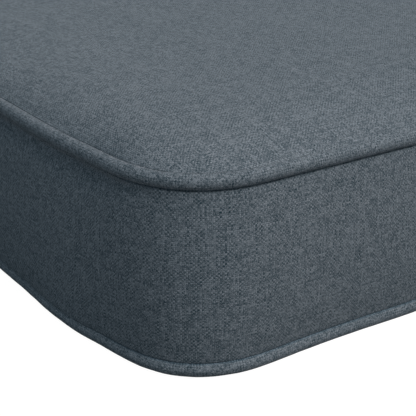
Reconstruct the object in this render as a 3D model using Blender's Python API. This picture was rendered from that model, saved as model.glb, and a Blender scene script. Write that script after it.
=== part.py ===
"""A box-edged bench cushion: one filled body, and a welt (a cloth-covered cord) in each of its two long seams.

Metres, +Z up. The cushion lies on its underside at z = 0, its length runs along X and its front faces -Y.
Every ring of the body and both welts share one list of stations round the seam, so they stay parallel.
"""

import math
from collections import namedtuple

import bmesh
import bpy
from mathutils import Vector

# Driving sizes. The plan's outline is the line of the welts' centres.
LENGTH = 1.219  # welt centre to welt centre at the corners, along X
DEPTH = 0.457  # welt centre to welt centre at the corners, along Y
SEAM_TO_SEAM = 0.0762  # between the two welts' centres, in height
CORNER_RADIUS = 0.0434  # in plan
CORNER_EXPONENT = 2.2  # 2 is a round corner, and more is squarer
WELT_DIAMETER = 0.0063
FLOOR_GAP = 0.0003  # under the bottom welt, because the underside carries the cushion
SEAM_GAP = 0.00045  # from a welt to the arc of the seam it lies in, which leaves 0.3 mm at the flats

# How the filling shapes the cover
PULLED_IN_LONG = 0.005  # how far the long sides draw in between their corners
PULLED_IN_SHORT = 0.0025
BOXING_BULGE = 0.0026  # beyond the lips that close over the welts
BOXING_FULLNESS = 0.95  # below 1 the band swells out soon after each lip
SHOULDER_RISE = 0.012  # the quick rise of the top panel beside its seam
SHOULDER_REACH = 0.016
MIDDLE_RISE = 0.0025  # the slow rise from there to the middle
INNER_CORNER_RADIUS = 0.030  # of the top panel's contours inside the shoulder
WAVE_FADE = 0.015  # how soon the seam's waves die out across a panel

# How finely the surfaces are divided
ARC_STEPS = 7
NEAR_CORNER_REACH = 0.135
NEAR_CORNER_STEPS = 9
MIDDLE_STEP = 0.085
GROOVE_STEPS = 5
BOXING_SHARES = (0.04, 0.12, 0.28, 0.5, 0.72, 0.88, 0.96)
WELT_BEVEL_RESOLUTION = 2
SHARP_ANGLE = math.radians(70)

HALF_LENGTH = LENGTH / 2
HALF_DEPTH = DEPTH / 2
WELT_RADIUS = WELT_DIAMETER / 2
BOTTOM_SEAM_HEIGHT = FLOOR_GAP + WELT_RADIUS
TOP_SEAM_HEIGHT = BOTTOM_SEAM_HEIGHT + SEAM_TO_SEAM
GROOVE_RADIUS = WELT_RADIUS + SEAM_GAP
# Angles round a welt, from its inner side towards the boxing, where the boxing's lip and the panel end
LIP_ANGLE = math.radians(124)
PANEL_ANGLE = math.radians(-36)

SectionRow = namedtuple("SectionRow", "inset height top_share bottom_share")
EdgeRow = namedtuple("EdgeRow", "inset height")
Station = namedtuple("Station", "corner on_arc fraction")
Corner = namedtuple("Corner", "name along_x along_y start_angle unevenness")
SeamWave = namedtuple("SeamWave", "place reach top_push bottom_push")

# The corners in order round the cushion, seen from above and starting at the front left
CORNERS = (
    Corner("front_left", -1, -1, math.radians(180), 1.0),
    Corner("front_right", 1, -1, math.radians(270), 0.6),
    Corner("back_right", 1, 1, math.radians(0), 0.5),
    Corner("back_left", -1, 1, math.radians(90), 0.7),
)

# Where the seams swell out (+) or pull in (-) near a corner. The place is measured along the seam from the
# corner's middle, positive on the long side and negative on the short side.
SEAM_WAVES = (
    SeamWave(place=-0.126, reach=0.022, top_push=-0.0009, bottom_push=-0.0010),
    SeamWave(place=-0.074, reach=0.022, top_push=0.0006, bottom_push=0.0018),
    SeamWave(place=-0.055, reach=0.012, top_push=0.0000, bottom_push=0.0007),
    SeamWave(place=-0.027, reach=0.016, top_push=-0.0008, bottom_push=-0.0016),
    SeamWave(place=0.006, reach=0.016, top_push=0.0004, bottom_push=0.0008),
    SeamWave(place=0.030, reach=0.020, top_push=0.0000, bottom_push=0.0008),
    SeamWave(place=0.070, reach=0.020, top_push=0.0002, bottom_push=-0.0003),
    SeamWave(place=0.112, reach=0.024, top_push=0.0005, bottom_push=0.0007),
)

# The underside's rounded edge, from its flat out to the bottom seam, inset from the seam line
UNDERSIDE_EDGE = (
    EdgeRow(inset=0.014, height=0.0),
    EdgeRow(inset=0.008, height=0.0002),
    EdgeRow(inset=0.005, height=0.0009),
)
# Where the top panel has a row, inset from the seam line
CROWN_INSETS = (0.005, 0.0075, 0.011, 0.016, 0.023, 0.032, 0.050, 0.080, 0.125, 0.180)

BODY_COLOR = (0.130, 0.155, 0.178, 1.0)
WELT_COLOR = (0.136, 0.161, 0.184, 1.0)
CLOTH_ROUGHNESS = 0.9


def clear_scene():
    for obj in list(bpy.data.objects):
        bpy.data.objects.remove(obj, do_unlink=True)


def cloth_material(name, color):
    """A matt cloth in one colour."""
    material = bpy.data.materials.new(name)
    material.use_nodes = True
    shader = material.node_tree.nodes["Principled BSDF"]
    shader.inputs["Base Color"].default_value = color
    shader.inputs["Roughness"].default_value = CLOTH_ROUGHNESS
    shader.inputs["Metallic"].default_value = 0.0
    material.diffuse_color = color
    return material


def is_long_side(corner_index):
    """True for the front and the back, which start at the even corners."""
    return corner_index % 2 == 0


def side_fractions(side_length):
    """Places along a straight side from 0 up to 1, close together near its two corners."""
    near = NEAR_CORNER_REACH / side_length
    middle_steps = max(1, round((side_length - 2 * NEAR_CORNER_REACH) / MIDDLE_STEP))
    first = [near * step / NEAR_CORNER_STEPS for step in range(1, NEAR_CORNER_STEPS)]
    middle = [near + (1 - 2 * near) * step / middle_steps for step in range(middle_steps + 1)]
    last = [1 - fraction for fraction in reversed(first)]
    return first + middle + last


def seam_stations():
    """Every place round the seam that the rings share: over each corner's arc, then along the side after it."""
    stations = []
    for corner in range(len(CORNERS)):
        full_side = LENGTH if is_long_side(corner) else DEPTH
        stations += [Station(corner, True, step / ARC_STEPS) for step in range(ARC_STEPS + 1)]
        stations += [Station(corner, False, place) for place in side_fractions(full_side - 2 * CORNER_RADIUS)]
    return stations


def arc_point(corner, fraction, half_length, half_depth, radius):
    """A point of one corner's arc, on a rounded rectangle of this size."""
    angle = corner.start_angle + fraction * math.pi / 2
    across, along = math.cos(angle), math.sin(angle)
    power = 2 / CORNER_EXPONENT
    return Vector((
        corner.along_x * (half_length - radius) + radius * math.copysign(abs(across) ** power, across),
        corner.along_y * (half_depth - radius) + radius * math.copysign(abs(along) ** power, along),
        0.0,
    ))


def plan_point(station, half_length, half_depth, radius):
    """The station's point on a rounded rectangle of this size, at z = 0."""
    corner = CORNERS[station.corner]
    if station.on_arc:
        return arc_point(corner, station.fraction, half_length, half_depth, radius)
    following = CORNERS[(station.corner + 1) % len(CORNERS)]
    start = arc_point(corner, 1.0, half_length, half_depth, radius)
    end = arc_point(following, 0.0, half_length, half_depth, radius)
    return start.lerp(end, station.fraction)


def outward_directions(points):
    """The plan's outward normal at each point of a ring that runs anticlockwise."""
    directions = []
    for index, _ in enumerate(points):
        along = points[(index + 1) % len(points)] - points[index - 1]
        directions.append(Vector((along.y, -along.x, 0.0)).normalized())
    return directions


def corner_wave(distance, column):
    """The push of one seam, this far along it from a corner's middle."""
    return sum(getattr(wave, column) * math.exp(-(((distance - wave.place) / wave.reach) ** 2))
               for wave in SEAM_WAVES)


def seam_push(station, column):
    """How far a seam stands out (+) or in (-) at a station, from the corners at both ends of its side."""
    half_arc = CORNER_RADIUS * math.pi / 4
    toward_long = 1 if is_long_side(station.corner) else -1
    own = CORNERS[station.corner].unevenness
    if station.on_arc:
        return own * corner_wave(toward_long * (2 * station.fraction - 1) * half_arc, column)
    following = CORNERS[(station.corner + 1) % len(CORNERS)].unevenness
    side = (LENGTH if is_long_side(station.corner) else DEPTH) - 2 * CORNER_RADIUS
    from_own = toward_long * (half_arc + station.fraction * side)
    from_following = toward_long * (half_arc + (1 - station.fraction) * side)
    return own * corner_wave(from_own, column) + following * corner_wave(from_following, column)


def pulled_in(point):
    """How the middle of each side draws in towards the cushion's centre."""
    along_length = math.cos(math.pi * point.x / LENGTH) ** 2
    along_depth = math.cos(math.pi * point.y / DEPTH) ** 2
    return Vector((
        -math.copysign(PULLED_IN_SHORT * along_depth, point.x),
        -math.copysign(PULLED_IN_LONG * along_length, point.y),
        0.0,
    ))


def ring(stations, inset, height, top_share, bottom_share):
    """The outline this far inside the seam line, at this height, with its share of each seam's waves."""
    radius = max(CORNER_RADIUS - inset, INNER_CORNER_RADIUS)
    size = (HALF_LENGTH - inset, HALF_DEPTH - inset, radius)
    points = [plan_point(station, *size) for station in stations]
    edge = [plan_point(station, HALF_LENGTH, HALF_DEPTH, CORNER_RADIUS) for station in stations]
    draw = 1 - max(inset, 0.0) / HALF_DEPTH
    placed = []
    for station, point, at_edge, outward in zip(stations, points, edge, outward_directions(edge)):
        push = top_share * seam_push(station, "top_push") + bottom_share * seam_push(station, "bottom_push")
        placed.append(point + outward * push + pulled_in(at_edge) * draw + Vector((0.0, 0.0, height)))
    return placed


def groove_arc(seam_height, toward_boxing, start_angle, end_angle, top_share, bottom_share):
    """Rows of the body round a welt. The angle is 0 at the welt's inner side and grows towards the boxing,
    which lies above the bottom welt (toward_boxing 1) and below the top one (toward_boxing -1)."""
    rows = []
    for step in range(GROOVE_STEPS + 1):
        angle = start_angle + (end_angle - start_angle) * step / GROOVE_STEPS
        height = seam_height + toward_boxing * GROOVE_RADIUS * math.sin(angle)
        rows.append(SectionRow(GROOVE_RADIUS * math.cos(angle), height, top_share, bottom_share))
    return rows


def underside_rows():
    """The rows between the flat that the cushion lies on and the bottom seam."""
    return [SectionRow(row.inset, row.height, 0.0, math.exp(-row.inset / WAVE_FADE)) for row in UNDERSIDE_EDGE]


def boxing_rows(bottom_lip, top_lip):
    """The upright band, which bulges between its two lips."""
    rows = []
    for share in BOXING_SHARES:
        from_middle = abs(2 * share - 1)
        bulge = BOXING_BULGE * (1 - from_middle ** 2) ** BOXING_FULLNESS
        height = bottom_lip.height + (top_lip.height - bottom_lip.height) * share
        rows.append(SectionRow(bottom_lip.inset - bulge, height, share, 1 - share))
    return rows


def crown_rows(panel_edge):
    """The top panel: a quick rise beside the seam, then a slow one to the middle."""
    rows = []
    for inset in CROWN_INSETS:
        shoulder = SHOULDER_RISE * (1 - math.exp(-(inset - panel_edge.inset) / SHOULDER_REACH))
        middle = MIDDLE_RISE * math.sin(math.pi / 2 * inset / HALF_DEPTH) ** 2
        rows.append(SectionRow(inset, panel_edge.height + shoulder + middle, math.exp(-inset / WAVE_FADE), 0.0))
    return rows


def section_rows():
    """The body's section, from the flat underside out to the boxing, up it, and in over the crown."""
    bottom_groove = groove_arc(BOTTOM_SEAM_HEIGHT, 1, PANEL_ANGLE, LIP_ANGLE, 0.0, 1.0)
    top_groove = groove_arc(TOP_SEAM_HEIGHT, -1, LIP_ANGLE, PANEL_ANGLE, 1.0, 0.0)
    boxing = boxing_rows(bottom_groove[-1], top_groove[0])
    return underside_rows() + bottom_groove + boxing + top_groove + crown_rows(top_groove[-1])


def loft(name, rings):
    """A closed mesh through rings of equally many points, from the lowest to the highest."""
    shape = bmesh.new()
    loops = [[shape.verts.new(point) for point in points] for points in rings]
    for lower, upper in zip(loops, loops[1:]):
        for index, _ in enumerate(lower):
            shape.faces.new((lower[index - 1], lower[index], upper[index], upper[index - 1]))
    shape.faces.new(list(reversed(loops[0])))
    shape.faces.new(loops[-1])
    mesh = bpy.data.meshes.new(name)
    shape.to_mesh(mesh)
    shape.free()
    mesh.shade_smooth()
    mesh.set_sharp_from_angle(angle=SHARP_ANGLE)
    return mesh


def cushion_body(stations, material):
    """The filled cushion in its cover: top panel, boxing and bottom panel, sewn into one form."""
    rings = [ring(stations, *row) for row in section_rows()]
    mesh = loft("cushion_body", rings)
    mesh.materials.append(material)
    return bpy.data.objects.new("cushion_body", mesh)


def welt(name, stations, seam_height, top_share, bottom_share, material):
    """A covered cord that lies in one seam, all the way round."""
    curve = bpy.data.curves.new(name, "CURVE")
    curve.dimensions = "3D"
    curve.twist_mode = "Z_UP"
    curve.bevel_depth = WELT_RADIUS
    curve.bevel_resolution = WELT_BEVEL_RESOLUTION
    points = ring(stations, 0.0, 0.0, top_share, bottom_share)
    spline = curve.splines.new("POLY")
    spline.points.add(len(points) - 1)
    for target, point in zip(spline.points, points):
        target.co = (*point, 1.0)
    spline.use_cyclic_u = True
    spline.use_smooth = True
    curve.materials.append(material)
    obj = bpy.data.objects.new(name, curve)
    obj.location.z = seam_height
    return obj


def main():
    clear_scene()
    collection = bpy.data.collections.new("bench_cushion")
    bpy.context.scene.collection.children.link(collection)
    origin = bpy.data.objects.new("cushion_origin", None)
    collection.objects.link(origin)
    stations = seam_stations()
    body_cloth = cloth_material("body_cloth", BODY_COLOR)
    welt_cloth = cloth_material("welt_cloth", WELT_COLOR)
    pieces = (
        cushion_body(stations, body_cloth),
        welt("welt_top", stations, TOP_SEAM_HEIGHT, 1.0, 0.0, welt_cloth),
        welt("welt_bottom", stations, BOTTOM_SEAM_HEIGHT, 0.0, 1.0, welt_cloth),
    )
    for piece in pieces:
        collection.objects.link(piece)
        piece.parent = origin


main()
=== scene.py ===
"""A box-edged bench cushion in a small studio: the cover, a covered cord in each seam, light and camera.

Metres, +Z up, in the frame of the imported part. The cushion lies on z = 0, its length runs along X and its
front faces -Y. The cover and both welts follow one shared line of stations round the seam, so they stay
parallel. The file is laid out as an add-on and is run as a script.
"""

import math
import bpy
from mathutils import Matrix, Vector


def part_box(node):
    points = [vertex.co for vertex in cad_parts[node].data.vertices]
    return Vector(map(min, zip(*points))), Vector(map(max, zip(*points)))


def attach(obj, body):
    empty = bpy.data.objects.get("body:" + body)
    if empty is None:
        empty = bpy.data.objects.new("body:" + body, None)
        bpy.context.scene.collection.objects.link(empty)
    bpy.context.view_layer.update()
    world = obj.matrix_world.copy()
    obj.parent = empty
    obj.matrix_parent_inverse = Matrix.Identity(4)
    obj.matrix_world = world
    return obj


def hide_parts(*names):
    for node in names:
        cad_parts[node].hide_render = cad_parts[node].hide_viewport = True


bl_info = {
    "name": "Bench cushion",
    "version": (1, 0, 0),
    "blender": (4, 5, 0),
    "location": "View3D > Sidebar > Cushion",
    "description": "Builds a box-edged bench cushion with welted seams, and a studio to look at it in",
    "category": "Object",
}

from collections import namedtuple

import bmesh
import bpy
from bpy.props import FloatProperty, FloatVectorProperty, IntProperty, PointerProperty
from mathutils import Matrix, Vector, noise
from mathutils.geometry import delaunay_2d_cdt

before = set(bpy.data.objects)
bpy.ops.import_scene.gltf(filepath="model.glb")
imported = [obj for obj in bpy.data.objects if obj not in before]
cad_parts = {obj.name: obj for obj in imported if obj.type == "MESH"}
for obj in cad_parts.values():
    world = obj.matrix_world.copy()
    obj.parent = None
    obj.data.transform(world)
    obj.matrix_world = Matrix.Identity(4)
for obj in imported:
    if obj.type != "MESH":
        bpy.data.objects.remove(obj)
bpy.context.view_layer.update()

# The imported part's own sizes
TOP_WELT_LOW, TOP_WELT_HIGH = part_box("welt_top")
BOTTOM_WELT_LOW, BOTTOM_WELT_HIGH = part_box("welt_bottom")
TOP_SEAM_HEIGHT = (TOP_WELT_LOW.z + TOP_WELT_HIGH.z) / 2
BOTTOM_SEAM_HEIGHT = (BOTTOM_WELT_LOW.z + BOTTOM_WELT_HIGH.z) / 2
WELT_DIAMETER = TOP_WELT_HIGH.z - TOP_WELT_LOW.z
ROUND_TO = 3  # decimals, so that the plan's sizes are whole millimetres
LENGTH = round(TOP_WELT_HIGH.x - TOP_WELT_LOW.x - WELT_DIAMETER, ROUND_TO)
DEPTH = round(TOP_WELT_HIGH.y - TOP_WELT_LOW.y - WELT_DIAMETER, ROUND_TO)

UP = Vector((0.0, 0.0, 1.0))
WHITE = (1.0, 1.0, 1.0, 1.0)
BLACK = (0.0, 0.0, 0.0, 1.0)


# ---- Settings that a user would change ----


class CushionShape(bpy.types.PropertyGroup):
    """The cushion's sizes and how full it is."""

    length: FloatProperty(
        name="Length", description="Between the welts' centres", default=LENGTH, unit="LENGTH"
    )
    depth: FloatProperty(
        name="Depth", description="Between the welts' centres", default=DEPTH, unit="LENGTH"
    )
    corner_radius: FloatProperty(
        name="Corner radius", description="Of the seams, seen from above", default=0.0434, unit="LENGTH"
    )
    corner_exponent: FloatProperty(
        name="Corner squareness", description="2 is a round corner, and more is squarer", default=2.2
    )
    boxing_bulge: FloatProperty(
        name="Boxing bulge", description="Of the upright band beyond its lips",
        default=0.0026, unit="LENGTH",
    )
    boxing_fullness: FloatProperty(
        name="Boxing fullness", description="Below 1 the band swells out soon after each lip", default=0.95
    )
    shoulder_rise: FloatProperty(
        name="Shoulder rise", description="The top's quick rise beside its seam",
        default=0.0109, unit="LENGTH",
    )
    shoulder_reach: FloatProperty(
        name="Shoulder reach", description="How far in the quick rise reaches", default=0.016, unit="LENGTH"
    )
    middle_rise: FloatProperty(
        name="Middle rise", description="The top's slow rise to its middle", default=0.0025, unit="LENGTH"
    )
    pulled_in_long: FloatProperty(
        name="Long sides drawn in", description="At each long side's middle", default=0.005, unit="LENGTH"
    )
    pulled_in_short: FloatProperty(
        name="Short sides drawn in", description="At each short side's middle",
        default=0.0025, unit="LENGTH",
    )
    unevenness: FloatProperty(
        name="Unevenness", description="Of the filling under the cloth", default=0.0004, unit="LENGTH"
    )
    pressure: FloatProperty(
        name="Pressure", description="How hard the filling presses in the simulation", default=4.0
    )
    swell_limit: FloatProperty(
        name="Swell limit", description="The furthest that the simulation moves the cover",
        default=0.0008, unit="LENGTH",
    )


class WeltShape(bpy.types.PropertyGroup):
    """The covered cords in the seams."""

    diameter: FloatProperty(
        name="Diameter", description="Of the cord in its cloth", default=WELT_DIAMETER, unit="LENGTH"
    )
    sides: IntProperty(name="Sides", description="Points round the cord", default=16)
    spacing: FloatProperty(
        name="Spacing", description="Between the cord's rings of points", default=0.0012, unit="LENGTH"
    )
    lump_height: FloatProperty(
        name="Lump height", description="Of the uneven cord under its cloth", default=0.00016, unit="LENGTH"
    )
    lump_spacing: FloatProperty(
        name="Lump spacing", description="Along the cord", default=0.009, unit="LENGTH"
    )
    seed: IntProperty(name="Seed", description="Of the uneven cord", default=4)


class ClothFinish(bpy.types.PropertyGroup):
    """The heathered cloth of the whole cover."""

    pitch: FloatProperty(
        name="Thread pitch", description="Between neighbouring threads", default=0.00076, unit="LENGTH"
    )
    deep_color: FloatVectorProperty(
        name="Deep colour", description="Of the darkest fibres", default=(0.0150, 0.0345, 0.0475),
        size=3, subtype="COLOR",
    )
    pale_color: FloatVectorProperty(
        name="Pale colour", description="Of the palest fibres", default=(0.1950, 0.2280, 0.2635),
        size=3, subtype="COLOR",
    )
    set_contrast: FloatProperty(name="Set contrast", description="Of the weft against the warp", default=0.23)
    yarn_contrast: FloatProperty(name="Yarn contrast", description="From thread to thread", default=0.14)
    slub_contrast: FloatProperty(name="Slub contrast", description="Along each thread", default=0.30)
    speck_contrast: FloatProperty(
        name="Speck contrast", description="From crossing to crossing", default=0.41
    )
    fiber_contrast: FloatProperty(
        name="Fibre contrast", description="Of the fibres in a thread", default=0.58
    )
    gap_shade: FloatProperty(
        name="Gap shade", description="How dark it is between the threads", default=0.18
    )
    relief: FloatProperty(
        name="Relief", description="Height of the threads", default=0.00009, unit="LENGTH"
    )
    roughness: FloatProperty(name="Roughness", description="Of the cloth", default=0.92)
    sheen: FloatProperty(name="Sheen", description="Of the fibres that stand up", default=0.02)


class StudioSettings(bpy.types.PropertyGroup):
    """The light and the floor."""

    front_strength: FloatProperty(
        name="Front lamp", description="Strength of the lamp in front", default=2.34
    )
    front_color: FloatVectorProperty(
        name="Front colour", description="Of the front lamp", default=(1.0, 0.92, 0.855),
        size=3, subtype="COLOR",
    )
    side_strength: FloatProperty(
        name="Side lamp", description="Strength of the lamp at the right", default=1.265
    )
    side_color: FloatVectorProperty(
        name="Side colour", description="Of the side lamp", default=(1.0, 0.752, 0.64),
        size=3, subtype="COLOR",
    )
    lamp_width: FloatProperty(
        name="Lamp width", description="The angle that each lamp fills", default=math.radians(40),
        subtype="ANGLE",
    )
    room_strength: FloatProperty(name="Room light", description="From all sides", default=0.446)
    room_color: FloatVectorProperty(
        name="Room colour", description="Of the light from all sides", default=(0.835, 1.0, 1.09),
        size=3, subtype="COLOR",
    )
    floor_bounce: FloatProperty(
        name="Floor bounce", description="Share of light that the floor returns", default=0.2
    )


# ---- The line of the seams ----

Corner = namedtuple("Corner", "along_x along_y start_angle unevenness")
Station = namedtuple("Station", "corner on_arc fraction")
Fineness = namedtuple("Fineness", "arc_steps near_reach near_steps middle_step")
SeamWave = namedtuple("SeamWave", "place reach top_push bottom_push")
LipShape = namedtuple("LipShape", "place reach top_turn bottom_turn top_tuck panel_turn panel_swell")

# The corners in order round the cushion, seen from above and starting at the front left. The unevenness is
# the share of both tables below that the corner takes.
CORNERS = (
    Corner(along_x=-1, along_y=-1, start_angle=math.radians(180), unevenness=1.0),
    Corner(along_x=1, along_y=-1, start_angle=math.radians(270), unevenness=0.6),
    Corner(along_x=1, along_y=1, start_angle=math.radians(0), unevenness=0.5),
    Corner(along_x=-1, along_y=1, start_angle=math.radians(90), unevenness=0.7),
)
INNER_CORNER_RADIUS = 0.030  # of the top panel's contours inside the shoulder

# In both tables the place is measured along the seam from a corner's middle, positive on the long side and
# negative on the short side, and a row fades out over its reach.
# Where the seams swell out (+) or pull in (-)
SEAM_WAVES = (
    SeamWave(place=-0.146, reach=0.018, top_push=0.0000, bottom_push=-0.0014),
    SeamWave(place=-0.126, reach=0.022, top_push=-0.0009, bottom_push=-0.0004),
    SeamWave(place=-0.074, reach=0.022, top_push=0.0006, bottom_push=0.0018),
    SeamWave(place=-0.055, reach=0.012, top_push=0.0000, bottom_push=0.0007),
    SeamWave(place=-0.027, reach=0.016, top_push=-0.0008, bottom_push=-0.0016),
    SeamWave(place=0.006, reach=0.016, top_push=0.0004, bottom_push=0.0008),
    SeamWave(place=0.030, reach=0.020, top_push=0.0000, bottom_push=0.0008),
    SeamWave(place=0.070, reach=0.020, top_push=0.0002, bottom_push=-0.0001),
    SeamWave(place=0.112, reach=0.024, top_push=0.0005, bottom_push=0.0011),
)
# Where the boxing closes further over a welt (turn +) or leaves more of it free (-), where it tucks in more
# under the top welt, and where the top panel starts further down its welt's inner side and then swells
LIP_SHAPES = (
    LipShape(place=-0.115, reach=0.034, top_turn=math.radians(-10), bottom_turn=math.radians(18),
             top_tuck=0.0024, panel_turn=math.radians(34), panel_swell=0.0042),
    LipShape(place=-0.062, reach=0.030, top_turn=math.radians(-12), bottom_turn=math.radians(16),
             top_tuck=0.0028, panel_turn=math.radians(28), panel_swell=0.0050),
    LipShape(place=-0.035, reach=0.018, top_turn=math.radians(-6), bottom_turn=math.radians(2),
             top_tuck=0.0014, panel_turn=math.radians(34), panel_swell=0.0038),
)
LIP_COLUMNS = LipShape._fields[2:]


def is_long_side(corner_index):
    """True for the front and the back, which start at the even corners."""
    return corner_index % 2 == 0


def following(corner_index):
    """The corner at the other end of the side that starts at this one."""
    return (corner_index + 1) % len(CORNERS)


def side_length(shape, corner_index):
    """The straight stretch of seam that starts at this corner."""
    full_side = shape.length if is_long_side(corner_index) else shape.depth
    return full_side - 2 * shape.corner_radius


def side_fractions(length, fineness):
    """Places along a straight side, between 0 and 1, close together near its two corners."""
    near = fineness.near_reach / length
    middle_steps = max(1, round((length - 2 * fineness.near_reach) / fineness.middle_step))
    first = [near * step / fineness.near_steps for step in range(1, fineness.near_steps)]
    middle = [near + (1 - 2 * near) * step / middle_steps for step in range(middle_steps + 1)]
    last = [1 - fraction for fraction in reversed(first)]
    return first + middle + last


def seam_stations(shape, fineness):
    """Every place round the seam: over each corner's arc, then along the side after it."""
    stations = []
    for corner in range(len(CORNERS)):
        arc = [step / fineness.arc_steps for step in range(fineness.arc_steps + 1)]
        stations += [Station(corner, True, place) for place in arc]
        side = side_fractions(side_length(shape, corner), fineness)
        stations += [Station(corner, False, place) for place in side]
    return stations


def arc_point(shape, corner, fraction, inset):
    """A point of one corner's arc, this far inside the seam line."""
    radius = max(shape.corner_radius - inset, INNER_CORNER_RADIUS)
    angle = corner.start_angle + fraction * math.pi / 2
    across, along = math.cos(angle), math.sin(angle)
    power = 2 / shape.corner_exponent
    middle_x = corner.along_x * (shape.length / 2 - inset - radius)
    middle_y = corner.along_y * (shape.depth / 2 - inset - radius)
    return Vector((
        middle_x + radius * math.copysign(abs(across) ** power, across),
        middle_y + radius * math.copysign(abs(along) ** power, along),
        0.0,
    ))


def plan_point(shape, station, inset):
    """The station's point this far inside the seam line, at z = 0, before the sides draw in."""
    corner = CORNERS[station.corner]
    if station.on_arc:
        return arc_point(shape, corner, station.fraction, inset)
    start = arc_point(shape, corner, 1.0, inset)
    end = arc_point(shape, CORNERS[following(station.corner)], 0.0, inset)
    return start.lerp(end, station.fraction)


def outward_directions(points):
    """The plan's outward normal at each point of a ring that runs anticlockwise."""
    directions = []
    for index, _ in enumerate(points):
        along = points[(index + 1) % len(points)] - points[index - 1]
        directions.append(Vector((along.y, -along.x, 0.0)).normalized())
    return directions


def bumps_at(table, column, distance):
    """The sum of a table's soft bumps, this far along the seam from a corner's middle."""
    return sum(
        getattr(bump, column) * math.exp(-(((distance - bump.place) / bump.reach) ** 2)) for bump in table
    )


def seam_value(shape, station, table, column):
    """A table's column at a station, from the corners at both ends of its side."""
    half_arc = shape.corner_radius * math.pi / 4
    toward_long = 1 if is_long_side(station.corner) else -1
    own = CORNERS[station.corner].unevenness
    if station.on_arc:
        return own * bumps_at(table, column, toward_long * (2 * station.fraction - 1) * half_arc)
    other = CORNERS[following(station.corner)].unevenness
    side = side_length(shape, station.corner)
    from_own = toward_long * (half_arc + station.fraction * side)
    from_other = toward_long * (half_arc + (1 - station.fraction) * side)
    return own * bumps_at(table, column, from_own) + other * bumps_at(table, column, from_other)


def pulled_in(shape, point):
    """How the middle of each side draws in towards the cushion's centre."""
    along_length = math.cos(math.pi * point.x / shape.length) ** 2
    along_depth = math.cos(math.pi * point.y / shape.depth) ** 2
    return Vector((
        -math.copysign(shape.pulled_in_short * along_depth, point.x),
        -math.copysign(shape.pulled_in_long * along_length, point.y),
        0.0,
    ))


class SeamLine:
    """The stations round the seam, with all that a section needs to be placed at each of them."""

    def __init__(self, shape, fineness):
        self.shape = shape
        self.stations = seam_stations(shape, fineness)
        self.edge = [plan_point(shape, station, 0.0) for station in self.stations]
        self.outward = outward_directions(self.edge)
        self.top_push = [self.value(station, SEAM_WAVES, "top_push") for station in self.stations]
        self.bottom_push = [self.value(station, SEAM_WAVES, "bottom_push") for station in self.stations]
        self.walked = [0.0]
        for index in range(1, len(self.edge) + 1):
            step = (self.edge[index % len(self.edge)] - self.edge[index - 1]).length
            self.walked.append(self.walked[-1] + step)

    def value(self, station, table, column):
        return seam_value(self.shape, station, table, column)

    def lips(self, station):
        """How the cover lies round both welts at a station, by column."""
        return {column: self.value(station, LIP_SHAPES, column) for column in LIP_COLUMNS}

    def place(self, index, inset, height, top_share, bottom_share):
        """The point of the cover or a welt at one station, with its share of each seam's waves."""
        draw = 1 - max(inset, 0.0) / (self.shape.depth / 2)
        push = top_share * self.top_push[index] + bottom_share * self.bottom_push[index]
        point = plan_point(self.shape, self.stations[index], inset)
        point += self.outward[index] * push + pulled_in(self.shape, self.edge[index]) * draw
        point.z = height
        return point


# ---- The cover's section ----

Groove = namedtuple(
    "Groove", "height toward_boxing lip_angle lip_rounding panel_angle panel top_share bottom_share"
)
EdgeRow = namedtuple("EdgeRow", "inset height")
SectionPoint = namedtuple("SectionPoint", "inset height top_share bottom_share panel")

# How the cover lies round each welt. The angles are 0 at the welt's inner side and grow towards the boxing,
# which lies above the bottom welt (toward_boxing 1) and below the top one (-1). Its rounded lip is there.
GROOVES = {
    "top": Groove(TOP_SEAM_HEIGHT, -1, lip_angle=math.radians(98), lip_rounding=0.0009,
                  panel_angle=math.radians(-88), panel="top", top_share=1.0, bottom_share=0.0),
    "bottom": Groove(BOTTOM_SEAM_HEIGHT, 1, lip_angle=math.radians(110), lip_rounding=0.0003,
                     panel_angle=math.radians(-36), panel="underside", top_share=0.0, bottom_share=1.0),
}
PANEL_GAP = -0.00004  # from a welt to the panel's edge, which is pressed into its cloth
LIP_GAP = 0.00018  # from a welt to the boxing's lip
# Where the rings round a welt lie on the way from its panel's edge to the lip, and how much of that is panel
GROOVE_SHARES = (0.0, 0.03, 0.2, 0.4, 0.6, 0.8, 1.0)
PANEL_PART = 0.5
GROOVE_PANEL_ROWS = sum(share < PANEL_PART for share in GROOVE_SHARES)
LIP_STEPS = 2

# The underside's rounded edge, from its flat out to the bottom seam
UNDERSIDE_EDGE = (
    EdgeRow(inset=0.014, height=0.0),
    EdgeRow(inset=0.008, height=0.0002),
    EdgeRow(inset=0.005, height=0.0009),
)
BOXING_SHARES = (0.02, 0.06, 0.14, 0.26, 0.40, 0.54, 0.67, 0.78, 0.86, 0.92, 0.96, 0.985)  # of its height
TUCK_REACH = 0.075  # of the boxing's height, over which it tucks in under the top welt
CROWN_JOIN = 0.050  # from the seam line to where the top's rings give way to a net of triangles
CROWN_SHARES = (0.005, 0.025, 0.055, 0.095, 0.14, 0.20, 0.27, 0.36, 0.47, 0.61, 0.79, 1.0)  # of the way there
SWELL_RISE = 0.006  # how soon a swell of the top panel rises beside its seam
SWELL_FALL = 0.022  # and how soon it dies out further in
WAVE_FADE = 0.015  # how soon the seam's waves die out across a panel


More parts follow.
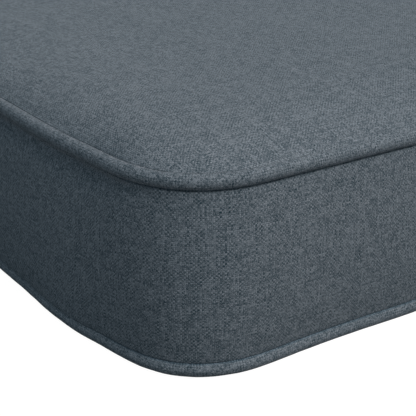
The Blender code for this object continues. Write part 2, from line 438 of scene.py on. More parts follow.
def groove_points(groove, lip_turn, panel_turn):
    """The cover round a welt, from its panel's edge to the boxing's rounded lip."""
    lip_angle = groove.lip_angle + lip_turn
    panel_angle = groove.panel_angle + panel_turn
    points = []

    def add(inset, rise, panel):
        height = groove.height + groove.toward_boxing * rise
        points.append(SectionPoint(inset, height, groove.top_share, groove.bottom_share, panel))

    for share in GROOVE_SHARES:
        angle = panel_angle + (lip_angle - panel_angle) * share
        radius = WELT_DIAMETER / 2 + PANEL_GAP + (LIP_GAP - PANEL_GAP) * share
        panel = groove.panel if share < PANEL_PART else "boxing"
        add(radius * math.cos(angle), radius * math.sin(angle), panel)
    reach = radius + groove.lip_rounding
    for step in range(1, LIP_STEPS + 1):
        angle = math.pi + lip_angle * (1 - step / LIP_STEPS)
        add(reach * math.cos(lip_angle) + groove.lip_rounding * math.cos(angle),
            reach * math.sin(lip_angle) + groove.lip_rounding * math.sin(angle), "boxing")
    return points


def boxing_points(shape, bottom_lip, top_lip, top_tuck):
    """The upright band, which bulges between its two lips."""
    points = []
    for share in BOXING_SHARES:
        from_middle = abs(2 * share - 1)
        bulge = shape.boxing_bulge * (1 - from_middle ** 2) ** shape.boxing_fullness
        bulge -= top_tuck * math.exp(-((1 - share) / TUCK_REACH) ** 2)
        lip_inset = bottom_lip.inset + (top_lip.inset - bottom_lip.inset) * share
        height = bottom_lip.height + (top_lip.height - bottom_lip.height) * share
        points.append(SectionPoint(lip_inset - bulge, height, share, 1 - share, "boxing"))
    return points


def wave_share(inset):
    """How much of a seam's waves is left this far in from it."""
    return math.exp(-inset / WAVE_FADE)


def crown_height(shape, edge, inset, panel_swell=0.0):
    """The top panel's height: a quick rise beside the seam, then a slow one to the middle. A swell is a
    steeper start that comes back to the same height further in."""
    inward = inset - edge.inset
    shoulder = shape.shoulder_rise * (1 - math.exp(-inward / shape.shoulder_reach))
    middle = shape.middle_rise * math.sin(math.pi / 2 * min(inset / (shape.depth / 2), 1.0)) ** 2
    swelling = panel_swell * (math.exp(-inward / SWELL_FALL) - math.exp(-inward / SWELL_RISE))
    return edge.height + shoulder + middle + swelling


def crown_points(shape, edge, panel_swell):
    """The top panel, from its edge in to where the net takes over."""
    points = []
    for share in CROWN_SHARES:
        inset = edge.inset + (CROWN_JOIN - edge.inset) * share
        height = crown_height(shape, edge, inset, panel_swell)
        points.append(SectionPoint(inset, height, wave_share(inset), 0.0, "top"))
    return points


def section(shape, lips):
    """The cover's section at one station, from the flat underside out round the bottom welt, up the boxing,
    round the top welt and in over the crown."""
    underside = [
        SectionPoint(row.inset, row.height, 0.0, wave_share(row.inset), "underside") for row in UNDERSIDE_EDGE
    ]
    bottom = groove_points(GROOVES["bottom"], lips["bottom_turn"], 0.0)
    top = groove_points(GROOVES["top"], lips["top_turn"], lips["panel_turn"])
    top.reverse()
    boxing = boxing_points(shape, bottom[-1], top[0], lips["top_tuck"])
    return underside + bottom + boxing + top + crown_points(shape, top[-1], lips["panel_swell"])


def walked_lengths(points):
    """How far each point of a section is along it."""
    lengths = [0.0]
    for before, point in zip(points, points[1:]):
        step = math.hypot(point.inset - before.inset, point.height - before.height)
        lengths.append(lengths[-1] + step)
    return lengths


# ---- The cover ----

Ripple = namedtuple("Ripple", "per_metre shift share")

COVER_FINENESS = Fineness(arc_steps=15, near_reach=0.135, near_steps=30, middle_step=0.012)
TOP_NET_STEP = 0.016
UNDERSIDE_NET_STEP = 0.040
NET_MARGIN = 0.5  # of a step, between the net's own points and the ring round it
NET_INSIDE = 1  # keeps the triangles that lie inside the ring
NET_TOLERANCE = 1e-7
ROUNDING_LEVELS = 1  # of subdivision, after the simulation

# The broad and the close unevenness of the filling
RIPPLES = (
    Ripple(per_metre=9.0, shift=Vector((3.1, 0.7, 5.2)), share=1.4),
    Ripple(per_metre=24.0, shift=Vector((8.4, 2.6, 1.9)), share=0.6),
)
FADE_ROWS = 7  # from a seam's groove to where the cover is as uneven as it gets

# The cloth's map of the weave, and where each panel is read from it. The top panel is at 0.
WEAVE_MAP = "weave"
BOXING_SHIFT = 3.0
UNDERSIDE_SHIFT = 6.0

# The fold between a welt and the boxing's lip, where the cloth gets painted shade
FOLD_SHADE_MAP = "fold"
FOLD_ROWS = 3  # from a groove's middle to the start of the boxing's lip
FOLD_FADE_ROWS = 2  # of these, over which the fold gets deep

HELD_GROUP = "held"  # the cover's only vertex group, which the cage's held shares belong to
FIRST_FRAME = 1
SIMULATION_FRAMES = 12
SIMULATION_QUALITY = 3  # steps in each frame


def unevenness(shape, point):
    """A slow rise and fall of the filling."""
    ripples = sum(
        ripple.share * noise.noise(point * ripple.per_metre + ripple.shift) for ripple in RIPPLES
    )
    return shape.unevenness * ripples


def inside_ring(place, half_x, half_y):
    """True inside a rectangle whose corners are rounded by the inner corner radius."""
    over_x = max(abs(place.x) - (half_x - INNER_CORNER_RADIUS), 0.0)
    over_y = max(abs(place.y) - (half_y - INNER_CORNER_RADIUS), 0.0)
    return math.hypot(over_x, over_y) < INNER_CORNER_RADIUS


def spread_points(outline, step):
    """Evenly spread points inside a ring, a little way off it."""
    half_x = max(abs(place.x) for place in outline)
    half_y = max(abs(place.y) for place in outline)
    columns, lines = round(2 * half_x / step), round(2 * half_y / step)
    margin = step * NET_MARGIN
    points = []
    for line in range(1, lines):
        for column in range(1, columns):
            place = Vector((2 * half_x * (column / columns - 0.5), 2 * half_y * (line / lines - 0.5)))
            if inside_ring(place, half_x - margin, half_y - margin):
                points.append(place)
    return points


class CoverCage:
    """The cover as a coarse mesh: rings from the underside to the crown, closed by a net at each end."""

    def __init__(self, shape):
        self.shape = shape
        self.seam = SeamLine(shape, COVER_FINENESS)
        self.sections = [section(shape, self.seam.lips(station)) for station in self.seam.stations]
        self.lengths = [walked_lengths(points) for points in self.sections]
        self.panels = [point.panel for point in self.sections[0]]
        self.boxing_rows = [row for row, panel in enumerate(self.panels) if panel == "boxing"]
        self.mesh = bmesh.new()
        self.weave = self.mesh.loops.layers.uv.new(WEAVE_MAP)
        self.held = self.mesh.verts.layers.deform.verify()
        self.fold = self.mesh.verts.layers.float.new(FOLD_SHADE_MAP)
        self.rings = [self.add_ring(row) for row in range(len(self.panels))]
        for row in range(len(self.panels) - 1):
            self.add_band(row)
        self.add_net("top", self.rings[-1], TOP_NET_STEP)
        self.add_net("underside", self.rings[0], UNDERSIDE_NET_STEP)

    def add_ring(self, row):
        """One row of the sections, all the way round."""
        panel = self.panels[row]
        fade = self.seam_fade(row)
        ring = []
        for index, points in enumerate(self.sections):
            point = points[row]
            place = self.seam.place(index, point.inset, point.height, point.top_share, point.bottom_share)
            side = self.seam.outward[index] if panel == "boxing" else UP
            place += side * (unevenness(self.shape, place) * fade)
            vert = self.mesh.verts.new(place)
            vert[self.held][0] = 1 - fade
            vert[self.fold] = self.fold_shade_share(row)
            ring.append(vert)
        return ring

    def seam_fade(self, row):
        """The share of the unevenness that a row takes: none on the underside and in the grooves, and all of
        it some way off."""
        first, last = self.boxing_rows[0], self.boxing_rows[-1]
        if row <= first or last <= row <= last + GROOVE_PANEL_ROWS:
            return 0.0
        return min(min(abs(row - first), abs(row - last)) / FADE_ROWS, 1.0)

    def fold_shade_share(self, row):
        """How deep in the fold between a welt and the boxing's lip a row lies, and so how much painted shade
        its cloth takes.
        """
        if self.panels[row] != "boxing":
            return 0.0
        from_seam = min(row - self.boxing_rows[0], self.boxing_rows[-1] - row)
        return min(max((FOLD_ROWS - from_seam) / FOLD_FADE_ROWS, 0.0), 1.0)

    def add_band(self, lower):
        """The faces between a row and the next. Where two panels meet they are the boxing's."""
        upper = lower + 1
        panel = self.panels[lower] if self.panels[lower] == self.panels[upper] else "boxing"
        count = len(self.sections)
        for station in range(count):
            corners = ((lower, station), (lower, station + 1), (upper, station + 1), (upper, station))
            face = self.mesh.faces.new([self.rings[row][place % count] for row, place in corners])
            for loop, (row, place) in zip(face.loops, corners):
                loop[self.weave].uv = self.flat_place(panel, row, place)

    def flat_place(self, panel, row, station):
        """Where a point of the cover lies on the flat cloth that its panel was cut from."""
        index = station % len(self.sections)
        points, lengths = self.sections[index], self.lengths[index]
        if panel == "boxing":
            middle_row = self.boxing_rows[len(self.boxing_rows) // 2]
            return BOXING_SHIFT + self.seam.walked[station], lengths[row] - lengths[middle_row]
        if panel == "top":
            inset = points[-1].inset - (lengths[-1] - lengths[row])
            shift = 0.0
        else:
            inset = points[0].inset - lengths[row]
            shift = UNDERSIDE_SHIFT
        place = plan_point(self.shape, self.seam.stations[index], inset)
        return place.x + shift, place.y

    def add_net(self, panel, ring, step):
        """Closes an end ring with triangles over evenly spread points, on the crown or flat on the floor."""
        outline = [vert.co.to_2d() for vert in ring]
        border = [list(range(len(outline)))]
        net = delaunay_2d_cdt(outline + spread_points(outline, step), [], border, NET_INSIDE, NET_TOLERANCE)
        places, faces = net[0], net[2]
        verts = ring + [self.net_vert(panel, place) for place in places[len(outline):]]
        shift = 0.0 if panel == "top" else UNDERSIDE_SHIFT
        for corners in faces:
            order = corners if panel == "top" else reversed(corners)
            face = self.mesh.faces.new([verts[corner] for corner in order])
            for loop in face.loops:
                loop[self.weave].uv = (loop.vert.co.x + shift, loop.vert.co.y)

    def net_vert(self, panel, place):
        """A point of the crown, which is free to swell, or of the flat underside, which is held."""
        point = Vector((place.x, place.y, 0.0))
        if panel == "top":
            edge = self.sections[0][-len(CROWN_SHARES) - 1]
            inset = min(self.shape.length / 2 - abs(place.x), self.shape.depth / 2 - abs(place.y))
            point.z = crown_height(self.shape, edge, inset)
            point.z += unevenness(self.shape, point)
        vert = self.mesh.verts.new(point)
        vert[self.held][0] = 0.0 if panel == "top" else 1.0
        return vert


def link(obj):
    bpy.context.scene.collection.objects.link(obj)
    return obj


def plain_copy(name, obj):
    """The evaluated object as a plain mesh in an object of its own. The object it came from goes."""
    graph = bpy.context.evaluated_depsgraph_get()
    evaluated = obj.evaluated_get(graph)
    mesh = bpy.data.meshes.new_from_object(evaluated, preserve_all_data_layers=True, depsgraph=graph)
    bpy.data.objects.remove(obj)
    mesh.name = name
    return link(bpy.data.objects.new(name, mesh))


def fill_out(obj, shape):
    """Blows the cover up under a short cloth simulation that is held at its seams and underside, and moves
    its points part of the way, never further than the swell limit."""
    obj.vertex_groups.new(name=HELD_GROUP)
    cloth = obj.modifiers.new("filling", "CLOTH")
    cloth.settings.quality = SIMULATION_QUALITY
    cloth.settings.vertex_group_mass = HELD_GROUP
    cloth.settings.use_pressure = True
    cloth.settings.uniform_pressure_force = shape.pressure
    cloth.settings.effector_weights.gravity = 0.0
    cloth.point_cache.frame_start = FIRST_FRAME
    cloth.point_cache.frame_end = SIMULATION_FRAMES
    scene = bpy.context.scene
    for step in range(FIRST_FRAME, SIMULATION_FRAMES + 1):
        scene.frame_set(step)
    filled = obj.evaluated_get(bpy.context.evaluated_depsgraph_get())
    blown_up = [vert.co.copy() for vert in filled.data.vertices]
    obj.modifiers.remove(cloth)
    for vert, place in zip(obj.data.vertices, blown_up):
        motion = place - vert.co
        vert.co += motion * (shape.swell_limit / (shape.swell_limit + motion.length))
    scene.frame_set(FIRST_FRAME)


def build_cover(shape, material):
    """The cover of the filled cushion, from its cage."""
    mesh = bpy.data.meshes.new("cover_cage")
    cage = CoverCage(shape)
    cage.mesh.to_mesh(mesh)
    cage.mesh.free()
    mesh.materials.append(material)
    mesh.shade_smooth()
    obj = link(bpy.data.objects.new("cover_cage", mesh))
    fill_out(obj, shape)
    rounding = obj.modifiers.new("rounding", "SUBSURF")
    rounding.levels = ROUNDING_LEVELS
    rounding.render_levels = ROUNDING_LEVELS
    return plain_copy("cushion_cover", obj)


# ---- Node trees ----


class Value:
    """A socket that takes part in formulas: each operator adds a Math node to its tree."""

    def __init__(self, tree, socket):
        self.tree = tree
        self.socket = socket

    def math(self, operation, *operands):
        return add_value(self.tree, "ShaderNodeMath", {"operation": operation}, dict(enumerate(operands)))

    def __add__(self, other):
        return self.math("ADD", self, other)

    def __sub__(self, other):
        return self.math("SUBTRACT", self, other)

    def __rsub__(self, other):
        return self.math("SUBTRACT", other, self)

    def __mul__(self, other):
        return self.math("MULTIPLY", self, other)

    def __truediv__(self, other):
        return self.math("DIVIDE", self, other)

    def __rtruediv__(self, other):
        return self.math("DIVIDE", other, self)

    def __mod__(self, other):
        return self.math("FLOORED_MODULO", self, other)

    __radd__ = __add__
    __rmul__ = __mul__

    def floor(self):
        return self.math("FLOOR", self)

    def clamped(self):
        """Between 0 and 1."""
        return self.math("MAXIMUM", self.math("MINIMUM", self, 1.0), 0.0)


def add_node(tree, kind, settings=None, inputs=None):
    """Adds a node: its settings first, then a value or a link for each socket that is named or numbered."""
    node = tree.nodes.new(kind)
    for name, setting in (settings or {}).items():
        setattr(node, name, setting)
    for socket, given in (inputs or {}).items():
        if isinstance(given, Value):
            tree.links.new(given.socket, node.inputs[socket])
        else:
            node.inputs[socket].default_value = given
    return node


def add_value(tree, kind, settings=None, inputs=None, output=0):
    """Adds a node and gives one of its outputs."""
    return Value(tree, add_node(tree, kind, settings, inputs).outputs[output])


def mixed(tree, factor, first, second, blend_type="MIX"):
    """Two colours mixed. The sockets of a Mix node's colours are numbered 6 and 7, and its result is 2."""
    settings = {"data_type": "RGBA", "blend_type": blend_type}
    return add_value(tree, "ShaderNodeMix", settings, {0: factor, 6: first, 7: second}, 2)


def new_material(name):
    """An empty material, and its tree."""
    material = bpy.data.materials.new(name)
    material.use_nodes = True
    material.node_tree.nodes.clear()
    return material, material.node_tree


# ---- The welts ----

WeltPlace = namedtuple("WeltPlace", "piece node seam weave_shift")

WELTS = (
    WeltPlace("top_welt", "welt_top", "top", weave_shift=9.0),
    WeltPlace("bottom_welt", "welt_bottom", "bottom", weave_shift=14.0),
)
WELT_FINENESS = Fineness(arc_steps=40, near_reach=0.135, near_steps=60, middle_step=0.006)
SWEEP_INPUTS = (
    ("Line", "NodeSocketGeometry"),
    ("Diameter", "NodeSocketFloat"),
    ("Sides", "NodeSocketInt"),
    ("Spacing", "NodeSocketFloat"),
    ("Lump Height", "NodeSocketFloat"),
    ("Lump Spacing", "NodeSocketFloat"),
    ("Seed", "NodeSocketInt"),
    ("Material", "NodeSocketMaterial"),
)
LUMP_DETAIL = 2.0  # finer layers of noise in the lumps
ALONG = "along"  # how far a point of a cord is along it, in metres
AROUND = "around"  # and round it, as a share of the turn
# How far a cord's side faces the boxing where it starts to lie in the fold, and where it lies deep in it
# The cord's painted shade in the fold grows between these two
FOLD_START = 0.72
FOLD_END = 0.96


def stored(tree, geometry, name, value):
    """A curve with a value kept on each of its points."""
    return add_value(tree, "GeometryNodeStoreNamedAttribute", {"data_type": "FLOAT", "domain": "POINT"},
                     {"Geometry": geometry, "Name": name, "Value": value})


def sweep_tree():
    """Geometry Nodes that sweep a round cord along a closed line of edges and leave it a little lumpy."""
    tree = bpy.data.node_groups.new("welt_sweep", "GeometryNodeTree")
    tree.is_modifier = True
    for name, kind in SWEEP_INPUTS:
        tree.interface.new_socket(name, in_out="INPUT", socket_type=kind)
    tree.interface.new_socket("Cord", in_out="OUTPUT", socket_type="NodeSocketGeometry")
    given = add_node(tree, "NodeGroupInput")

    def read(name):
        return Value(tree, given.outputs[name])

    line = add_value(tree, "GeometryNodeMeshToCurve", inputs={"Mesh": read("Line")})
    line = add_value(tree, "GeometryNodeResampleCurve", {"mode": "LENGTH"},
                     {"Curve": line, "Length": read("Spacing")})
    line = stored(tree, line, ALONG, add_value(tree, "GeometryNodeSplineParameter", output=1))
    profile = add_value(tree, "GeometryNodeCurvePrimitiveCircle", {"mode": "RADIUS"},
                        {"Resolution": read("Sides"), "Radius": read("Diameter") / 2})
    profile = stored(tree, profile, AROUND, add_value(tree, "GeometryNodeSplineParameter", output=0))
    cord = add_value(tree, "GeometryNodeCurveToMesh", inputs={"Curve": line, "Profile Curve": profile})
    lumps = add_value(tree, "ShaderNodeTexNoise", {"noise_dimensions": "4D"}, {
        "Vector": add_value(tree, "GeometryNodeInputPosition"), "W": read("Seed"),
        "Scale": 1 / read("Lump Spacing"), "Detail": LUMP_DETAIL,
    })
    outward = add_value(tree, "GeometryNodeInputNormal")
    offset = add_value(tree, "ShaderNodeVectorMath", {"operation": "SCALE"},
                       {0: outward, 3: (lumps - 0.5) * 2 * read("Lump Height")})
    cord = add_value(tree, "GeometryNodeSetPosition", inputs={"Geometry": cord, "Offset": offset})
    cord = add_value(tree, "GeometryNodeSetShadeSmooth", inputs={"Geometry": cord})
    cord = add_value(tree, "GeometryNodeRealizeInstances", inputs={"Geometry": cord})
    cord = add_value(tree, "GeometryNodeSetMaterial",
                     inputs={"Geometry": cord, "Material": read("Material")})
    add_node(tree, "NodeGroupOutput", inputs={"Cord": cord})
    return tree


def set_inputs(modifier, tree, values):
    """Sets a Geometry Nodes modifier's inputs, each by its socket's identifier."""
    for item in tree.interface.items_tree:
        if item.item_type == "SOCKET" and item.in_out == "INPUT" and item.name in values:
            modifier[item.identifier] = values[item.name]


def build_welt(place, shape, welt, tree, material):
    """One covered cord, all the way round its seam."""
    groove = GROOVES[place.seam]
    line = SeamLine(shape, WELT_FINENESS)
    count = len(line.stations)
    points = [line.place(index, 0.0, groove.height, groove.top_share, groove.bottom_share)
              for index in range(count)]
    mesh = bpy.data.meshes.new("seam_line")
    mesh.from_pydata(points, [(index, (index + 1) % count) for index in range(count)], [])
    obj = link(bpy.data.objects.new("seam_line", mesh))
    modifier = obj.modifiers.new("sweep", "NODES")
    modifier.node_group = tree
    set_inputs(modifier, tree, {
        "Diameter": welt.diameter, "Sides": welt.sides, "Spacing": welt.spacing,
        "Lump Height": welt.lump_height, "Lump Spacing": welt.lump_spacing, "Seed": welt.seed,
        "Material": material,
    })
    cord = plain_copy(place.piece, obj)
    lay_weave(cord.data, welt.diameter, place.weave_shift)
    lay_fold_shade(cord.data, groove.toward_boxing)
    return cord


def lay_weave(mesh, diameter, shift):
    """Gives a cord its map of the cloth, in metres along and round it. The last face each way ends where the
    first one starts, so its far corners are moved on by one whole turn."""
    along = [item.value for item in mesh.attributes[ALONG].data]
    around = [item.value for item in mesh.attributes[AROUND].data]
    whole_length = max(along)
    whole_turn = 1.0
    weave = mesh.uv_layers.new(name=WEAVE_MAP)
    for face in mesh.polygons:
        face_along = [along[index] for index in face.vertices]
        face_around = [around[index] for index in face.vertices]
        closes_length = max(face_along) - min(face_along) > whole_length / 2
        closes_turn = max(face_around) - min(face_around) > whole_turn / 2
        for loop, walked, turned in zip(face.loop_indices, face_along, face_around):
            if closes_length and walked < whole_length / 2:
                walked += whole_length
            if closes_turn and turned < whole_turn / 2:
                turned += whole_turn
            weave.data[loop].uv = (shift + walked, turned * math.pi * diameter)
    for name in (ALONG, AROUND):
        mesh.attributes.remove(mesh.attributes[name])


def lay_fold_shade(mesh, toward_boxing):
    """Marks the side of a cord that lies in the fold beside the boxing, where its cloth takes painted shade.
    """
    fold = mesh.attributes.new(FOLD_SHADE_MAP, "FLOAT", "POINT")
    for vertex, item in zip(mesh.vertices, fold.data):
        facing = vertex.normal.z * toward_boxing
        item.value = min(max((facing - FOLD_START) / (FOLD_END - FOLD_START), 0.0), 1.0)


# ---- The cloth ----

BIAS = math.sqrt(0.5)  # the sine and cosine of 45 degrees, at which cloth is cut to cover a cord
WANDER_SCALE = 55.0  # per metre, of the slow wander of the threads
WANDER = 0.5  # threads
CROWDING_SCALE = 260.0  # per metre, of thick and thin threads side by side
CROWDING_STRETCH = 0.02  # of that pattern along the threads
CROWDING = 0.5  # threads
SLUB_STRETCH = 0.12  # of a slub's own pattern along its thread
SLUB_DETAIL = 1.0  # finer layers of noise in the slubs
THREAD_STRIDE = 9.7  # keeps neighbouring threads' patterns apart
FIBERS_ACROSS = 4.0  # in a thread
FIBER_STRETCH = 0.35  # of a fibre's pattern along its thread
NOISE_GAIN = 2.6  # widens a noise texture's narrow range to about 1
HEIGHT_AT_CROSSING = 0.35  # of a thread where it dips under its neighbour
WARP_SEED = 0.37
WEFT_SEED = 41.61
MEAN_TONE = 0.5
MEAN_SQUARED_GRAIN = 1 / 3
PAINTED_FOLD_SHADE = (0.76, 0.95, 1.05, 1.0)  # painted shade: a darker, bluer multiply on cloth deep in a fold, standing in for the light that other cloth gives it there
SHEEN_ROUGHNESS = 0.5
CLOTH_SHINE = 0.06  # the threads' faint gloss


def noise_at(tree, x, y, scale=1.0, detail=0.0):
    """A soft noise texture at a flat place, from 0 to 1 with most of it near the middle."""
    place = add_value(tree, "ShaderNodeCombineXYZ", inputs={0: x, 1: y})
    return add_value(tree, "ShaderNodeTexNoise", {"noise_dimensions": "2D"},
                     {"Vector": place, "Scale": scale, "Detail": detail})


def grain_at(tree, x, y):
    """A random number from 0 to 1 for each pair of whole numbers."""
    place = add_value(tree, "ShaderNodeCombineXYZ", inputs={0: x, 1: y})
    return add_value(tree, "ShaderNodeTexWhiteNoise", {"noise_dimensions": "2D"}, {"Vector": place})


def thread_tone(tree, finish, thread, along, across, seed):
    """How pale one set of threads is: each thread's own tone, the slubs along it, and its fibres. It is 0 on
    average."""
    own = grain_at(tree, thread, seed) - 0.5
    slub = noise_at(tree, thread * THREAD_STRIDE + seed, along * SLUB_STRETCH, detail=SLUB_DETAIL)
    slub = (slub - 0.5) * NOISE_GAIN
    fiber = noise_at(tree, across * FIBERS_ACROSS + seed, along * FIBER_STRETCH * FIBERS_ACROSS)
    fiber = (fiber - 0.5) * NOISE_GAIN
    return own * finish.yarn_contrast + slub * finish.slub_contrast + fiber * finish.fiber_contrast


def arch(place):
    """1 in a thread's middle, at 0, and 0 at both its edges, at 0.5 and -0.5."""
    return 1 - place * place * 4


def thread_height(across, along):
    """A thread's rounded back, which dips at both ends of the crossing that it lies over."""
    return arch(across) * (HEIGHT_AT_CROSSING + (1 - HEIGHT_AT_CROSSING) * arch(along))


def cloth_material(name, finish, on_bias):
    """A plain weave of heathered threads, laid on the flat cloth that each piece was cut from."""
    material, tree = new_material(name)
    flat = add_value(tree, "ShaderNodeUVMap", {"uv_map": WEAVE_MAP})
    split = add_node(tree, "ShaderNodeSeparateXYZ", inputs={0: flat})
    x, y = Value(tree, split.outputs[0]), Value(tree, split.outputs[1])
    if on_bias:
        x, y = (x + y) * BIAS, (y - x) * BIAS

    # Each thread's whole number, and how far from its middle a place is
    wander = (noise_at(tree, x, y, WANDER_SCALE) - 0.5) * WANDER
    crowding_x = (noise_at(tree, x, y * CROWDING_STRETCH, CROWDING_SCALE) - 0.5) * CROWDING
    crowding_y = (noise_at(tree, x * CROWDING_STRETCH, y, CROWDING_SCALE) - 0.5) * CROWDING
    warp = x / finish.pitch + wander + crowding_x
    weft = y / finish.pitch - wander + crowding_y
    warp_thread, weft_thread = warp.floor(), weft.floor()
    across_warp = warp - warp_thread - 0.5
    across_weft = weft - weft_thread - 0.5
    weft_on_top = (warp_thread + weft_thread) % 2.0

    # How pale the thread on top is
    warp_tone = thread_tone(tree, finish, warp_thread, weft, warp, WARP_SEED) - finish.set_contrast / 2
    weft_tone = thread_tone(tree, finish, weft_thread, warp, weft, WEFT_SEED) + finish.set_contrast / 2
    grain = grain_at(tree, warp_thread, weft_thread)
    speck = (grain * grain - MEAN_SQUARED_GRAIN) * finish.speck_contrast
    tone = (MEAN_TONE + speck + warp_tone + (weft_tone - warp_tone) * weft_on_top).clamped()
    color = mixed(tree, tone, (*finish.deep_color, 1.0), (*finish.pale_color, 1.0))

    # The painted shade in the gaps between the threads and in the fold beside the boxing, and the threads'
    # relief
    height = thread_height(across_warp, across_weft) * (1 - weft_on_top)
    height = height + thread_height(across_weft, across_warp) * weft_on_top
    color = mixed(tree, (1 - height) * finish.gap_shade, color, BLACK)
    fold = add_value(tree, "ShaderNodeAttribute", {"attribute_name": FOLD_SHADE_MAP}, output="Fac")
    # painted shade: cloth in the fold is multiplied darker and bluer
    color = mixed(tree, fold, color, PAINTED_FOLD_SHADE, "MULTIPLY")
    bump = add_value(tree, "ShaderNodeBump", inputs={"Height": height, "Distance": finish.relief})
    shader = add_value(tree, "ShaderNodeBsdfPrincipled", inputs={
        "Base Color": color, "Roughness": finish.roughness, "Sheen Weight": finish.sheen,
        "Sheen Roughness": SHEEN_ROUGHNESS, "Specular IOR Level": CLOTH_SHINE, "Normal": bump,
    })
    add_node(tree, "ShaderNodeOutputMaterial", inputs={"Surface": shader})
    return material


# ---- The studio ----

Lamp = namedtuple("Lamp", "name strength color azimuth elevation")

CAMERA_PLACE = Vector((-0.83906, -0.56253, 0.23438))
CAMERA_YAW = math.radians(36.331)  # from +Y towards +X
CAMERA_PITCH = math.radians(21.389)  # down
CAMERA_ROLL = math.radians(-0.504)
CAMERA_LENS = 107.2  # mm
CAMERA_SENSOR = 36.0  # mm
# Where each lamp stands, its azimuth counted from +X towards +Y
LAMPS = (
    Lamp("front_lamp", "front_strength", "front_color",
         azimuth=math.radians(282), elevation=math.radians(50)),
    Lamp("side_lamp", "side_strength", "side_color",
         azimuth=math.radians(345), elevation=math.radians(50)),
)
FLOOR_SIZE = 60.0
FLOOR_HEIGHT = -0.0004
FLOOR_GLOW = 0.98
FLOOR_TONE = 0.12
BACKDROP_RADIUS = 32.0
BACKDROP_GLOW = 1.02
BACKDROP_SEGMENTS = 48
BACKDROP_RINGS = 24


def studio_material(name, tone, glow):
    """A matt pale surface that also glows, as a lit table does."""
    material, tree = new_material(name)
    shader = add_value(tree, "ShaderNodeBsdfPrincipled", inputs={
        "Base Color": (tone, tone, tone, 1.0), "Roughness": 1.0, "Specular IOR Level": 0.0,
        "Emission Color": WHITE, "Emission Strength": glow,
    })
    add_node(tree, "ShaderNodeOutputMaterial", inputs={"Surface": shader})
    return material


def stage_object(name, surface, material):
    """An object of the stage, from a bmesh that is used up."""
    mesh = bpy.data.meshes.new(name)
    surface.to_mesh(mesh)
    surface.free()
    mesh.materials.append(material)
    return link(bpy.data.objects.new(name, mesh))


def only_seen_by(obj, camera=False, diffuse=False):
    """Leaves a stage surface visible to some rays alone."""
    obj.visible_camera = camera
    obj.visible_diffuse = diffuse
    obj.visible_glossy = False
    obj.visible_transmission = False
    obj.visible_shadow = False


def floor_sheet(name, material):
    """A wide flat square just under the cushion."""
    surface = bmesh.new()
    bmesh.ops.create_grid(surface, x_segments=1, y_segments=1, size=FLOOR_SIZE / 2)
    bmesh.ops.translate(surface, verts=surface.verts, vec=(0.0, 0.0, FLOOR_HEIGHT))
    return stage_object(name, surface, material)


def build_floor(settings):
    """The lit white floor that the camera sees, and the plain one that returns some light to the cushion."""
    seen = floor_sheet("floor", studio_material("floor_white", FLOOR_TONE, FLOOR_GLOW))
    only_seen_by(seen, camera=True)
    bounce = floor_sheet("floor_bounce", studio_material("floor_bounce", settings.floor_bounce, 0.0))
    only_seen_by(bounce, diffuse=True)
    return seen, bounce


def build_backdrop():
    """A white dome that only the camera sees, behind the far edge of the floor."""
    surface = bmesh.new()
    bmesh.ops.create_uvsphere(
        surface, u_segments=BACKDROP_SEGMENTS, v_segments=BACKDROP_RINGS, radius=BACKDROP_RADIUS
    )
    bmesh.ops.reverse_faces(surface, faces=surface.faces)
    dome = stage_object("backdrop", surface, studio_material("backdrop_white", 0.0, BACKDROP_GLOW))
    only_seen_by(dome, camera=True)
    return dome


def build_lamp(settings, lamp):
    """One large soft lamp, far off."""
    light = bpy.data.lights.new(lamp.name, "SUN")
    light.angle = settings.lamp_width
    light.energy = getattr(settings, lamp.strength)
    light.color = getattr(settings, lamp.color)
    placed = link(bpy.data.objects.new(lamp.name, light))
    toward = Vector((
        math.cos(lamp.azimuth) * math.cos(lamp.elevation),
        math.sin(lamp.azimuth) * math.cos(lamp.elevation),
        math.sin(lamp.elevation),
    ))
    placed.rotation_mode = "QUATERNION"
    placed.rotation_quaternion = toward.to_track_quat("Z", "Y")


def build_room(settings):
    """Even light from all sides."""
    room = bpy.data.worlds.new("studio_room")
    room.use_nodes = True
    background = room.node_tree.nodes["Background"]
    background.inputs["Color"].default_value = (*settings.room_color, 1.0)
    background.inputs["Strength"].default_value = settings.room_strength
    bpy.context.scene.world = room


def build_camera():
    """The camera at the photograph's angle, close to the front left corner."""
    data = bpy.data.cameras.new("camera")
    data.lens = CAMERA_LENS
    data.sensor_width = CAMERA_SENSOR
    camera = link(bpy.data.objects.new("camera", data))
    looking = Vector((
        math.sin(CAMERA_YAW) * math.cos(CAMERA_PITCH),
        math.cos(CAMERA_YAW) * math.cos(CAMERA_PITCH),
        -math.sin(CAMERA_PITCH),
    ))
    upright = looking.to_track_quat("-Z", "Y").to_matrix().to_4x4()
    rolled = upright @ Matrix.Rotation(-CAMERA_ROLL, 4, "Z")
    camera.matrix_world = Matrix.Translation(CAMERA_PLACE) @ rolled
    bpy.context.scene.camera = camera


# ---- The add-on ----


class CUSHION_OT_studio(bpy.types.Operator):
    """Adds the floor, the backdrop, the lamps and the camera"""

    bl_idname = "cushion.studio"
    bl_label = "Studio"

    def execute(self, context):
        settings = context.scene.cushion_studio
        build_floor(settings)
        build_backdrop()
        for lamp in LAMPS:
            build_lamp(settings, lamp)
        build_room(settings)
        build_camera()
        context.scene.view_settings.view_transform = "Standard"
        return {"FINISHED"}


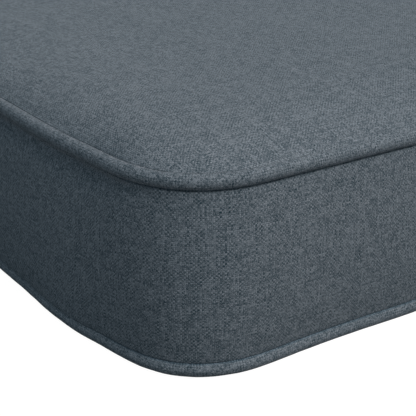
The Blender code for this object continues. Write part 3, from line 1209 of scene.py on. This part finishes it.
class CUSHION_OT_cover(bpy.types.Operator):
    """Builds the filled cover: top panel, boxing and bottom panel"""

    bl_idname = "cushion.cover"
    bl_label = "Cover"

    def execute(self, context):
        cloth = cloth_material("cover_cloth", context.scene.cushion_cloth, on_bias=False)
        cover = build_cover(context.scene.cushion_shape, cloth)
        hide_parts("cushion_body")
        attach(cover, "root")
        return {"FINISHED"}


class CUSHION_OT_welts(bpy.types.Operator):
    """Builds the covered cord in each seam"""

    bl_idname = "cushion.welts"
    bl_label = "Welts"

    def execute(self, context):
        scene = context.scene
        cloth = cloth_material("welt_cloth", scene.cushion_cloth, on_bias=True)
        tree = sweep_tree()
        for place in WELTS:
            cord = build_welt(place, scene.cushion_shape, scene.cushion_welts, tree, cloth)
            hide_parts(place.node)
            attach(cord, "root")
        return {"FINISHED"}


class VIEW3D_PT_cushion(bpy.types.Panel):
    """The cushion's pieces and the studio, each with its settings"""

    bl_label = "Bench cushion"
    bl_space_type = "VIEW_3D"
    bl_region_type = "UI"
    bl_category = "Cushion"

    def draw(self, context):
        scene = context.scene
        for operator, settings in (
            ("cushion.studio", (scene.cushion_studio,)),
            ("cushion.cover", (scene.cushion_shape, scene.cushion_cloth)),
            ("cushion.welts", (scene.cushion_welts,)),
        ):
            box = self.layout.box()
            box.operator(operator)
            for group in settings:
                for name in group.bl_rna.properties.keys():
                    if name not in ("rna_type", "name"):
                        box.prop(group, name)


SETTINGS = {
    "cushion_shape": CushionShape,
    "cushion_welts": WeltShape,
    "cushion_cloth": ClothFinish,
    "cushion_studio": StudioSettings,
}
CLASSES = (*SETTINGS.values(), CUSHION_OT_studio, CUSHION_OT_cover, CUSHION_OT_welts, VIEW3D_PT_cushion)


def register():
    for item in CLASSES:
        bpy.utils.register_class(item)
    for name, group in SETTINGS.items():
        setattr(bpy.types.Scene, name, PointerProperty(type=group))


def unregister():
    for name in SETTINGS:
        delattr(bpy.types.Scene, name)
    for item in reversed(CLASSES):
        bpy.utils.unregister_class(item)


def main():
    """Builds everything in order."""
    register()
    bpy.ops.cushion.studio()
    bpy.ops.cushion.cover()
    bpy.ops.cushion.welts()


if __name__ == "__main__":
    main()
